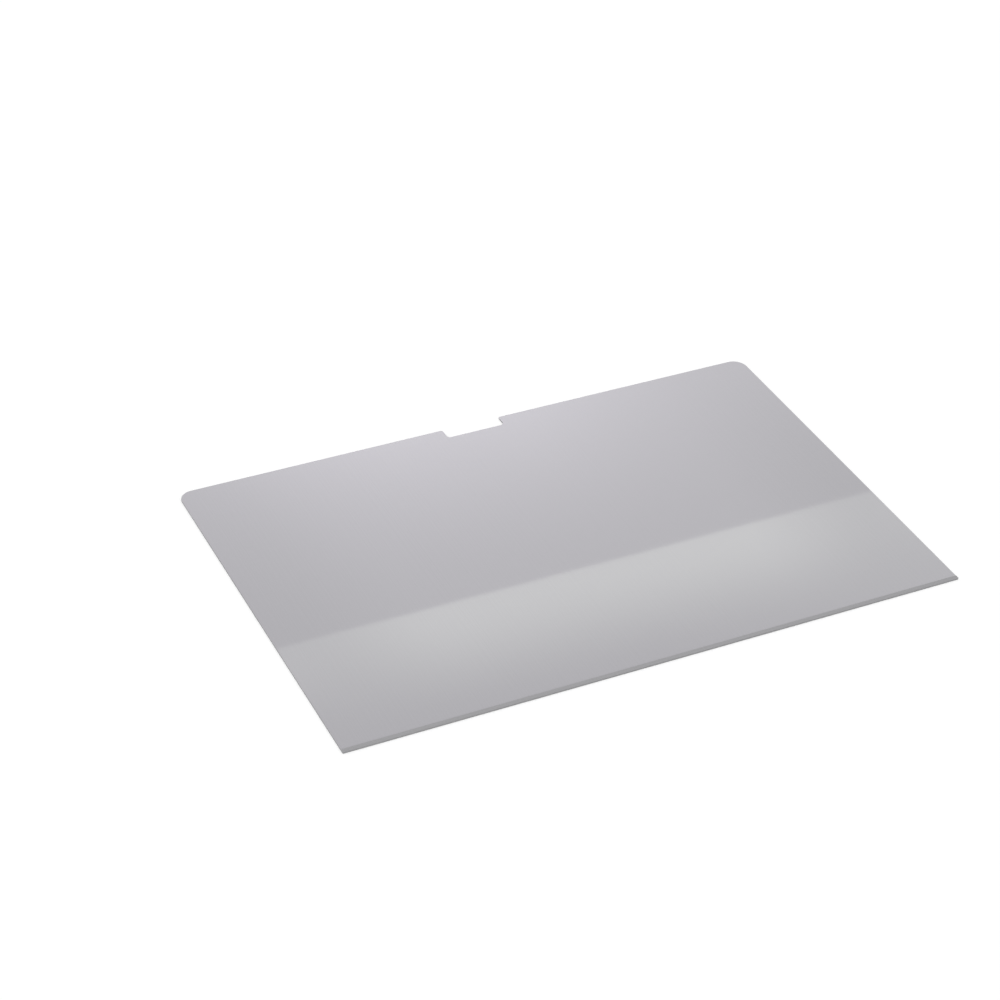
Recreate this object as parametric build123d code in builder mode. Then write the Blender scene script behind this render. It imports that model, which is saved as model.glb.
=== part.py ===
from build123d import *
import os

# A magnetic privacy filter for a notebook screen, in millimetres.
# It lies on its rear face, the one that goes against the screen, with the viewing face up.
# +X runs along the screen's width and +Y towards the camera edge.
# The origin is the middle of the outline, on the rear face.

# Outline of the whole filter
overall_width = 352.0
overall_height = 235.0

# Louvre film: one die-cut laminate, rounded at the two top corners only
film_thickness = 0.6
top_corner_radius = 8.0

# Camera notch in the middle of the film's top edge
notch_width = 35.0
notch_depth = 8.0
notch_floor_radius = 2.2
notch_mouth_radius = 1.2

# Magnetic bar: an extruded strip of flexible magnet that caps the film's bottom edge.
# Its rear face is level with the film's, and its lip laps over the film's viewing face.
bar_butt_width = 1.2
film_lap = 1.4
lip_thickness = 0.3
bar_edge_radius = 0.12
bar_end_radius = 0.5

# The largest share of a wall that a rounded corner may take
largest_share = 0.45

# Places that follow from those sizes
top_edge = overall_height / 2
bottom_edge = -overall_height / 2
film_bottom = bottom_edge + bar_butt_width
film_height = top_edge - film_bottom
film_centre = (top_edge + film_bottom) / 2
notch_half = notch_width / 2
lip_edge = film_bottom + film_lap
bar_thickness = film_thickness + lip_thickness

# Rounded corners, each limited by its wall
floor_radius = min(notch_floor_radius, notch_depth * largest_share, notch_half * largest_share)
mouth_radius = min(notch_mouth_radius, notch_depth * largest_share)
edge_radius = min(bar_edge_radius, lip_thickness * largest_share)
end_radius = min(bar_end_radius, bar_butt_width * largest_share)

os.makedirs("parts", exist_ok=True)

# Louvre film, with its rounded top corners and its camera notch
with BuildPart() as privacy_film:
    with BuildSketch() as film_outline:
        with Locations((0, film_centre)):
            Rectangle(overall_width, film_height)
        fillet(film_outline.vertices().group_by(Axis.Y)[-1], top_corner_radius)
        with Locations((0, top_edge)):
            Rectangle(notch_width, notch_depth * 2, mode=Mode.SUBTRACT)
        notch_corners = film_outline.vertices().filter_by_position(Axis.X, -notch_half, notch_half)
        fillet(notch_corners.group_by(Axis.Y)[0], floor_radius)
        mouth_corners = film_outline.vertices().filter_by_position(Axis.X, -notch_half, notch_half)
        fillet(mouth_corners.group_by(Axis.Y)[-1], mouth_radius)
    extrude(amount=film_thickness)

# Magnetic bar, drawn as its section and drawn out along the bottom edge
with BuildPart() as magnetic_bar:
    with BuildSketch(Plane.YZ) as bar_section:
        with BuildLine():
            Polyline(
                (bottom_edge, 0),
                (film_bottom, 0),
                (film_bottom, film_thickness),
                (lip_edge, film_thickness),
                (lip_edge, bar_thickness),
                (bottom_edge, bar_thickness),
                close=True,
            )
        make_face()
    extrude(amount=overall_width / 2, both=True)
    upright_edges = magnetic_bar.edges().filter_by(Axis.Z)
    fillet(upright_edges.group_by(Axis.Y)[0], end_radius)
    viewing_face = magnetic_bar.faces().sort_by(Axis.Z)[-1]
    fillet(viewing_face.edges(), edge_radius)

privacy_film.part.label = "privacy_film"
export_step(privacy_film.part, "parts/privacy_film.step")

magnetic_bar.part.label = "magnetic_bar"
export_step(magnetic_bar.part, "parts/magnetic_bar.step")
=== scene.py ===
"""A magnetic notebook privacy filter, lying flat with its viewing face up, in metres."""

from math import cos, pi, radians, sin

import bmesh
import bpy
from mathutils import Matrix, Vector


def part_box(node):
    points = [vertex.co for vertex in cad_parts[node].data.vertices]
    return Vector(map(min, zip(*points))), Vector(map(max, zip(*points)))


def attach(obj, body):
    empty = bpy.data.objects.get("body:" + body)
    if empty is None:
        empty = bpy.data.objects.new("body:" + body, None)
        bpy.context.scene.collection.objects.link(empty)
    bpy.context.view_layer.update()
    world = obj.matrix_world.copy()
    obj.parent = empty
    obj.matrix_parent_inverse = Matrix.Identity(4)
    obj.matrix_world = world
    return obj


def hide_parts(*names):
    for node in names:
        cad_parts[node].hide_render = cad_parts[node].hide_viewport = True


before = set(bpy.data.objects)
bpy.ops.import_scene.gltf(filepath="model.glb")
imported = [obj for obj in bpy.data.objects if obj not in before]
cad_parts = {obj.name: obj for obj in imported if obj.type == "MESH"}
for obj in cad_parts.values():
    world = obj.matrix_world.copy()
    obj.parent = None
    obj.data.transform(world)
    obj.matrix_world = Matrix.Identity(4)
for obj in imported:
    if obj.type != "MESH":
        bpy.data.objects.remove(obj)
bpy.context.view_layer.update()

MM = 0.001
WHITE = (1, 1, 1, 1)

# Directions from an arc's centre, and a quarter turn
RIGHT, UP, LEFT, DOWN = 0, pi / 2, pi, 1.5 * pi
QUARTER = pi / 2

# Order of the materials on each piece
TOP, SIDES, BOTTOM = range(3)

# Sizes: the outline and the thicknesses come from the CAD parts, the others are those of the solids
film_low, film_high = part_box("privacy_film")
bar_low, bar_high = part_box("magnetic_bar")
half_width = film_high.x
top_corner_radius = 8.0 * MM
notch_half = 17.5 * MM
notch_depth = 8.0 * MM
notch_floor_radius = 2.2 * MM
notch_mouth_radius = 1.2 * MM
bar_end_radius = 0.5 * MM
bar_edge_radius = 0.12 * MM

# Tiny radii of cut edges and square corners, and how many steps each kind of arc has
film_edge_radius = 0.06 * MM
square_corner_radius = 0.15 * MM
corner_steps = 24
small_steps = 10
edge_steps = 4

# Edges that turn more than this stay sharp, and points closer than this become one
sharp_angle = radians(28)
same_place = 0.0001 * MM

# The photograph's camera: what it looks at, from where, and its lens and sensor in millimetres
camera_aim = Vector((-16.1, 43.71, 0.0)) * MM
camera_azimuth = radians(-26.353)
camera_elevation = radians(35.297)
camera_distance = 1463.1 * MM
camera_roll = radians(1.821)
camera_lens = 96.32
camera_sensor = 36.0
camera_clip = (0.05, 50.0)

# Textures: a scale counts features in a metre, and a shade says how much lighter or darker they are.
# Every roughness but the clear coat's varies by this much, up and down.
rough_spread = 0.06

# Louvre film: soft clouds and fine upright lines, on a ramp from dark to light
cloud_scale = 28.0
cloud_detail = 3.0
cloud_shade = 0.012
louvre_scale = 1500.0
louvre_detail = 3.0
louvre_shade = 0.05
middle_shade = 0.5
film_dark = (0.186, 0.182, 0.194, 1)
film_light = (0.556, 0.545, 0.580, 1)
film_specular = 0.1
front_roughness = 0.42
rear_roughness = 0.36

# The film's grain, and the slow swell of the clear coat that only its front has
grain_scale = 5200.0
grain_detail = 2.0
grain_depth = 0.02 * MM
grain_strength = 0.08
swell_scale = 9.0
swell_detail = 1.0
swell_height = 0.05 * MM
swell_strength = 1.0
front_coat = 1.0
rear_coat = 0.0
coat_roughness = 0.035

# The film's cut edge: a dark core between paler layers, with the cutter's upright marks
core_half = 0.2 * MM
core_blur = 0.02 * MM
cut_scale = 1800.0
cut_detail = 2.0
cut_stretch = (1, 1, 0.2)
layer_share = 0.7
edge_dark = (0.10, 0.098, 0.105, 1)
edge_light = (0.36, 0.355, 0.37, 1)
edge_roughness = 0.5

# Flexible magnet: fine grain, and streaks drawn out along the bar
rubber_scale = 2600.0
rubber_detail = 3.0
rubber_share = 0.6
rubber_depth = 0.05 * MM
rubber_strength = 0.3
drawn_scale = 1500.0
drawn_detail = 2.0
drawn_stretch = (0.02, 1, 1)
bar_dark = (0.26, 0.258, 0.267, 1)
bar_light = (0.34, 0.338, 0.349, 1)
bar_roughness = 0.62

# Floor, world and key light
floor_drop = 0.1 * MM
floor_half = 8.0
floor_grey = 0.9
world_level = 0.69
key_strength = 1.15
key_spread = radians(40)
key_from = Vector((-0.35, -0.25, 1.0))

# Light panels behind the filter, in metres: the film mirrors the line where they meet.
# A fade or reach gives two distances along X between which a glow changes. Faint is what is left.
panel_y = 0.43
panel_left = -0.6
panel_right = 1.0
panel_fade = (0.29, 0.5)
foot_share = 0.4
head_share = 1.4
band_line_y = -30.5 * MM

# Lower panel: an even glow, and a spot that rises towards its foot
lower_colour = (1.025, 0.975, 1.08, 1)
even_level = 0.4
even_reach = (0.13, 0.245)
spot_level = 1.65
spot_rise = 1.55
spot_centre = -0.02
spot_reach = (0.03, 0.2)
spot_faint = 0.45

# Upper panel: a band that fades towards its top, and a faint glow at the top's right end
upper_colour = (0.96, 1.0, 0.92, 1)
band_level = 2.04
band_flat = 0.06
band_reach = (0.13, 0.245)
band_faint = 0.45
top_level = 0.42
top_reach = (0.0, 0.27)


# Camera

def camera_direction():
    """Unit vector from the aim towards the camera."""
    flat = cos(camera_elevation)
    return Vector((sin(camera_azimuth) * flat, -cos(camera_azimuth) * flat, sin(camera_elevation)))


camera_place = camera_aim + camera_direction() * camera_distance


def add_object(name, data):
    """A new object in the scene."""
    thing = bpy.data.objects.new(name, data)
    bpy.context.scene.collection.objects.link(thing)
    return thing


def add_camera():
    """The scene's camera, rolled a little about its line of sight."""
    data = bpy.data.cameras.new("camera")
    data.lens = camera_lens
    data.sensor_width = camera_sensor
    data.clip_start, data.clip_end = camera_clip
    camera = add_object("camera", data)
    back = camera_direction()
    right = Vector((0, 0, 1)).cross(back).normalized()
    up = back.cross(right)
    turned_right = right * cos(camera_roll) + up * sin(camera_roll)
    turned_up = up * cos(camera_roll) - right * sin(camera_roll)
    turn = Matrix((turned_right, turned_up, back)).transposed()
    camera.matrix_world = Matrix.Translation(camera_place) @ turn.to_4x4()
    bpy.context.scene.camera = camera


# Outlines and solids

def arc(centre_x, centre_y, radius, start, turn, steps):
    """Points on an arc from the start angle, turning by the given angle."""
    angles = [start + turn * step / steps for step in range(steps + 1)]
    return [(centre_x + radius * cos(angle), centre_y + radius * sin(angle)) for angle in angles]


def bar_outline(reach, inset):
    """Anticlockwise outline of the bar up to this Y: round near corners, nearly square far ones.

    On each side it has a point where the film's end meets the bar, so that butt and lip share it.
    """
    side = half_width - inset
    near = bar_low.y + inset
    far = reach - inset
    end = bar_end_radius - inset
    square = min(square_corner_radius, far - film_low.y)
    points = arc(-side + end, near + end, end, LEFT, QUARTER, small_steps)
    points += arc(side - end, near + end, end, DOWN, QUARTER, small_steps)
    points.append((side, film_low.y))
    points += arc(side - square, far - square, square, RIGHT, QUARTER, small_steps)
    points += arc(-side + square, far - square, square, UP, QUARTER, small_steps)
    points.append((-side, film_low.y))
    return points


def film_outline(inset):
    """Anticlockwise outline of the film: square bottom corners, round top corners and the notch."""
    side = half_width - inset
    near = film_low.y + inset
    far = film_high.y - inset
    square = square_corner_radius
    corner = top_corner_radius - inset
    mouth = notch_mouth_radius - inset
    inner = notch_floor_radius + inset
    wall = notch_half + inset
    floor = film_high.y - notch_depth - inset
    points = arc(-side + square, near + square, square, LEFT, QUARTER, small_steps)
    points += arc(side - square, near + square, square, DOWN, QUARTER, small_steps)
    points += arc(side - corner, far - corner, corner, RIGHT, QUARTER, corner_steps)
    points += arc(wall + mouth, far - mouth, mouth, UP, QUARTER, small_steps)
    points += arc(wall - inner, floor + inner, inner, RIGHT, -QUARTER, small_steps)
    points += arc(-wall + inner, floor + inner, inner, DOWN, -QUARTER, small_steps)
    points += arc(-wall - mouth, far - mouth, mouth, RIGHT, QUARTER, small_steps)
    points += arc(-side + corner, far - corner, corner, UP, QUARTER, corner_steps)
    return points


def rounded_edge(z, radius, up):
    """Inset and height of each ring round an outer edge at this height.

    They go from the wall to the top face when up, and from the bottom face to the wall when not.
    """
    rings = []
    for step in range(edge_steps + 1):
        angle = QUARTER * step / edge_steps
        rings.append((radius * (1 - cos(angle)), z - radius * (1 - sin(angle))))
    if up:
        return rings
    return [(inset, 2 * z - height) for inset, height in reversed(rings)]


def solid(name, rings):
    """Closed mesh through rings of equal length, given bottom to top as (outline, height).

    Points of two rings that lie in one place become one.
    """
    shape = bmesh.new()
    loops = [[shape.verts.new((x, y, z)) for x, y in outline] for outline, z in rings]
    shape.faces.new(list(reversed(loops[0]))).material_index = BOTTOM
    for low, high in zip(loops, loops[1:]):
        for this in range(len(low)):
            following = (this + 1) % len(low)
            side = shape.faces.new((low[this], low[following], high[following], high[this]))
            side.material_index = SIDES
            side.smooth = True
    shape.faces.new(loops[-1]).material_index = TOP
    bmesh.ops.remove_doubles(shape, verts=shape.verts[:], dist=same_place)
    for edge in shape.edges:
        edge.smooth = edge.calc_face_angle() < sharp_angle
    mesh = bpy.data.meshes.new(name)
    shape.to_mesh(mesh)
    shape.free()
    return add_object(name, mesh)


def make_film():
    """The film, with both rims of its cut edge softened."""
    lower = rounded_edge(film_low.z, film_edge_radius, up=False)
    upper = rounded_edge(film_high.z, film_edge_radius, up=True)
    return solid("louvre_film", [(film_outline(inset), z) for inset, z in lower + upper])


def make_bar():
    """The bar: a butt as thick as the film, and a lip that laps over the film's face."""
    seat = film_high.z
    butt = [(bar_outline(film_low.y, 0), z) for z in (bar_low.z, seat)]
    lip = [(bar_outline(bar_high.y, 0), seat)]
    for inset, z in rounded_edge(bar_high.z, bar_edge_radius, up=True):
        lip.append((bar_outline(bar_high.y, inset), z))
    return solid("magnet_bar", butt + lip)


# Materials

class Nodes:
    """A short way to add and link the nodes of a material or a world."""

    def __init__(self, owner, output="OutputMaterial"):
        owner.use_nodes = True
        self.owner = owner
        self.tree = owner.node_tree
        self.tree.nodes.clear()
        self.output = self.add(output)

    def add(self, kind, inputs=None, **settings):
        """A node of this kind. Each input is a number, a colour or another node's socket."""
        node = self.tree.nodes.new("ShaderNode" + kind)
        for key, value in settings.items():
            setattr(node, key, value)
        for key, value in (inputs or {}).items():
            if isinstance(value, bpy.types.NodeSocket):
                self.tree.links.new(value, node.inputs[key])
            else:
                node.inputs[key].default_value = value
        return node

    def surface(self, shader):
        """Links the shader to the output, and gives the finished material or world."""
        self.tree.links.new(shader, self.output.inputs["Surface"])
        return self.owner

    def place(self):
        """Place in the frame, in metres."""
        return self.add("TexCoord").outputs["Object"]

    def noise(self, place, scale, detail, stretch=(1, 1, 1)):
        """Noise over the place. A stretch under 1 draws it out along that axis."""
        scaled = self.add("Mapping", {"Vector": place, "Scale": stretch})
        inputs = {"Vector": scaled.outputs["Vector"], "Scale": scale, "Detail": detail}
        return self.add("TexNoise", inputs).outputs["Fac"]

    def lines(self, along, scale, detail):
        """Noise that varies in one direction only, so that it draws straight lines across it."""
        inputs = {"W": along, "Scale": scale, "Detail": detail}
        return self.add("TexNoise", inputs, noise_dimensions="1D").outputs["Fac"]

    def bump(self, height, strength, distance):
        """Normal of a surface with this height."""
        inputs = {"Height": height, "Strength": strength, "Distance": distance}
        return self.add("Bump", inputs).outputs["Normal"]

    def spread(self, value, low, high, from_low=0.0, from_high=1.0, smooth=False):
        """The value, moved from one range to another and kept within it."""
        kind = "SMOOTHSTEP" if smooth else "LINEAR"
        inputs = {
            "Value": value,
            "From Min": from_low,
            "From Max": from_high,
            "To Min": low,
            "To Max": high,
        }
        return self.add("MapRange", inputs, interpolation_type=kind).outputs["Result"]

    def rough(self, value, middle):
        """Roughness that follows the value, a little under and over its middle."""
        return self.spread(value, middle - rough_spread, middle + rough_spread)

    def ramp(self, value, dark, light):
        """Colour between dark, at 0, and light, at 1."""
        node = self.add("ValToRGB", {"Fac": value})
        node.color_ramp.elements[0].color = dark
        node.color_ramp.elements[1].color = light
        return node.outputs["Color"]

    def math(self, operation, first, second=0.0):
        """Result of one operation on two values."""
        return self.add("Math", {0: first, 1: second}, operation=operation).outputs["Value"]

    def product(self, first, *others):
        """All the values multiplied."""
        for other in others:
            first = self.math("MULTIPLY", first, other)
        return first

    def blend(self, first, second, share):
        """A share of the first value, and the rest of the second."""
        return self.math("ADD", self.product(first, share), self.product(second, 1 - share))

    def both(self, first, second):
        """Two shaders added."""
        return self.add("AddShader", {0: first, 1: second}).outputs["Shader"]


def film_material(name, roughness, coat):
    """Louvre film: fine upright lines and soft clouds in a faint violet grey, clear coated or not."""
    nodes = Nodes(bpy.data.materials.new(name))
    place = nodes.place()
    cloud = nodes.noise(place, cloud_scale, cloud_detail)
    across = nodes.add("SeparateXYZ", {"Vector": place}).outputs["X"]
    louvre = nodes.lines(across, louvre_scale, louvre_detail)
    clouds = nodes.spread(cloud, -cloud_shade, cloud_shade)
    louvres = nodes.spread(louvre, -louvre_shade, louvre_shade)
    shade = nodes.math("ADD", nodes.math("ADD", clouds, louvres), middle_shade)
    grain = nodes.noise(place, grain_scale, grain_detail)
    swell = nodes.noise(place, swell_scale, swell_detail)
    shader = nodes.add("BsdfPrincipled", {
        "Base Color": nodes.ramp(shade, film_dark, film_light),
        "Roughness": nodes.rough(cloud, roughness),
        "Specular IOR Level": film_specular,
        "Normal": nodes.bump(grain, grain_strength, grain_depth),
        "Coat Weight": coat,
        "Coat Roughness": coat_roughness,
        "Coat Normal": nodes.bump(swell, swell_strength, swell_height),
    })
    return nodes.surface(shader.outputs["BSDF"])


def edge_material():
    """Cut edge of the film: a dark louvre core between two paler outer layers."""
    nodes = Nodes(bpy.data.materials.new("film_edge"))
    place = nodes.place()
    height = nodes.add("SeparateXYZ", {"Vector": place}).outputs["Z"]
    middle = (film_low.z + film_high.z) / 2
    away = nodes.math("ABSOLUTE", nodes.math("SUBTRACT", height, middle))
    layer = nodes.spread(away, 0.0, 1.0, core_half - core_blur, core_half + core_blur)
    cuts = nodes.noise(place, cut_scale, cut_detail, cut_stretch)
    shader = nodes.add("BsdfPrincipled", {
        "Base Color": nodes.ramp(nodes.blend(layer, cuts, layer_share), edge_dark, edge_light),
        "Roughness": nodes.rough(cuts, edge_roughness),
    })
    return nodes.surface(shader.outputs["BSDF"])


def bar_material():
    """Flexible magnet: matt grey rubber with fine grain and drawn-out streaks along its length."""
    nodes = Nodes(bpy.data.materials.new("magnet_rubber"))
    place = nodes.place()
    grain = nodes.noise(place, rubber_scale, rubber_detail)
    drawn = nodes.noise(place, drawn_scale, drawn_detail, drawn_stretch)
    mixed = nodes.blend(grain, drawn, rubber_share)
    shader = nodes.add("BsdfPrincipled", {
        "Base Color": nodes.ramp(mixed, bar_dark, bar_light),
        "Roughness": nodes.rough(mixed, bar_roughness),
        "Normal": nodes.bump(mixed, rubber_strength, rubber_depth),
    })
    return nodes.surface(shader.outputs["BSDF"])


# Stage and light

def seen_directly(nodes):
    """1 for rays that show a background: the camera's own, mirrored ones and those through glass."""
    path = nodes.add("LightPath")
    seen = nodes.math("MAXIMUM", path.outputs["Is Camera Ray"], path.outputs["Is Glossy Ray"])
    return nodes.math("MAXIMUM", seen, path.outputs["Is Transmission Ray"])


def plane(name, corners):
    """One flat face that belongs to the stage."""
    mesh = bpy.data.meshes.new(name)
    mesh.from_pydata(corners, [], [range(len(corners))])
    thing = add_object(name, mesh)
    return thing


def add_floor():
    """A pale floor that keeps the shadow. A faint glow makes it white where it is seen directly."""
    half = floor_half
    z = -floor_drop
    floor = plane("floor", [(-half, -half, z), (half, -half, z), (half, half, z), (-half, half, z)])
    nodes = Nodes(bpy.data.materials.new("floor"))
    matt = nodes.add("BsdfDiffuse", {"Color": (floor_grey, floor_grey, floor_grey, 1)})
    lift = nodes.product(seen_directly(nodes), 1.0 - floor_grey)
    glow = nodes.add("Emission", {"Color": WHITE, "Strength": lift})
    shader = nodes.both(matt.outputs["BSDF"], glow.outputs["Emission"])
    floor.data.materials.append(nodes.surface(shader))


def mirrored_height(film_y):
    """Height on the light panels that the camera sees mirrored along this line of the film."""
    return (panel_y - film_y) * camera_place.z / (film_y - camera_place.y)


def window(nodes, along, reach, faint, centre=0.0):
    """1 round the centre, then down to faint over the reach, on both sides."""
    aside = nodes.math("ABSOLUTE", nodes.math("SUBTRACT", along, centre))
    return nodes.spread(aside, 1.0, faint, *reach, smooth=True)


def add_panel(name, low_z, high_z, colour, level):
    """A clear glowing panel behind the filter, which only mirrors show, as strong as level says.

    Its glow leans with height, so that the film mirrors it upright to a camera at one side.
    """
    y = panel_y
    panel = plane(name, [(panel_left, y, low_z), (panel_right, y, low_z),
                         (panel_right, y, high_z), (panel_left, y, high_z)])
    panel.visible_camera = False
    panel.visible_diffuse = False
    panel.visible_shadow = False
    nodes = Nodes(bpy.data.materials.new(name))
    place = nodes.add("SeparateXYZ", {"Vector": nodes.place()})
    height = place.outputs["Z"]
    lean = nodes.product(height, camera_place.x / camera_place.z)
    along = nodes.math("ADD", place.outputs["X"], lean)
    strength = nodes.product(window(nodes, along, panel_fade, 0.0), level(nodes, along, height))
    glow = nodes.add("Emission", {"Color": colour, "Strength": strength})
    clear = nodes.add("BsdfTransparent")
    shader = nodes.both(glow.outputs["Emission"], clear.outputs["BSDF"])
    panel.data.materials.append(nodes.surface(shader))


def add_panels():
    """Two soft panels, one above the other. The film mirrors the line where they meet."""
    # Heights that the filter mirrors at that line, at its near edge and at its far edge
    split = mirrored_height(band_line_y)
    near = mirrored_height(bar_low.y)
    far = mirrored_height(film_high.y)
    foot = far * foot_share
    head = near * head_share
    fall_start = split + (near - split) * band_flat

    def lower(nodes, along, height):
        """Strength of the lower panel: the even glow and the spot, faded out at the foot."""
        even = nodes.product(window(nodes, along, even_reach, 0.0), even_level)
        rise = nodes.math("POWER", nodes.spread(height, 0.0, 1.0, split, far), spot_rise)
        spot_window = window(nodes, along, spot_reach, spot_faint, spot_centre)
        spot = nodes.product(spot_window, rise, spot_level)
        fade = nodes.spread(height, 0.0, 1.0, foot, far, smooth=True)
        return nodes.product(nodes.math("ADD", even, spot), fade)

    def upper(nodes, along, height):
        """Strength of the upper panel: the band and the glow at the top, faded out at the head."""
        fall = nodes.spread(height, 1.0, 0.0, fall_start, near, smooth=True)
        band = nodes.product(window(nodes, along, band_reach, band_faint), fall, band_level)
        rise = nodes.spread(height, 0.0, 1.0, split, near, smooth=True)
        fade = nodes.spread(height, 1.0, 0.0, near, head, smooth=True)
        top = nodes.product(nodes.spread(along, 0.0, top_level, *top_reach), rise, fade)
        return nodes.math("ADD", band, top)

    add_panel("lower_panel", foot, split, lower_colour, lower)
    add_panel("upper_panel", split, head, upper_colour, upper)


def add_key():
    """A broad soft sun from the front left, which no mirror shows."""
    data = bpy.data.lights.new("key", "SUN")
    data.energy = key_strength
    data.angle = key_spread
    key = add_object("key", data)
    key.rotation_euler = (-key_from).to_track_quat("-Z", "Y").to_euler()
    key.visible_glossy = False


def add_world():
    """An even world: plain soft light on the filter, and white where it is seen directly."""
    world = bpy.data.worlds.new("studio")
    bpy.context.scene.world = world
    nodes = Nodes(world, "OutputWorld")
    level = nodes.spread(seen_directly(nodes), world_level, 1.0)
    light = nodes.add("Background", {"Color": WHITE, "Strength": level})
    nodes.surface(light.outputs["Background"])


def dress(piece, node, top, sides, bottom):
    """Gives the piece its materials, hangs it on the root body and hides the CAD node that it stands
    for.
    """
    for material in (top, sides, bottom):
        piece.data.materials.append(material)
    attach(piece, "root")
    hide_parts(node)


add_camera()
add_world()
add_floor()
add_panels()
add_key()

film_front = film_material("louvre_film", front_roughness, front_coat)
film_rear = film_material("film_rear", rear_roughness, rear_coat)
dress(make_film(), "privacy_film", film_front, edge_material(), film_rear)

rubber = bar_material()
dress(make_bar(), "magnetic_bar", rubber, rubber, rubber)

bpy.context.scene.view_settings.view_transform = "Standard"
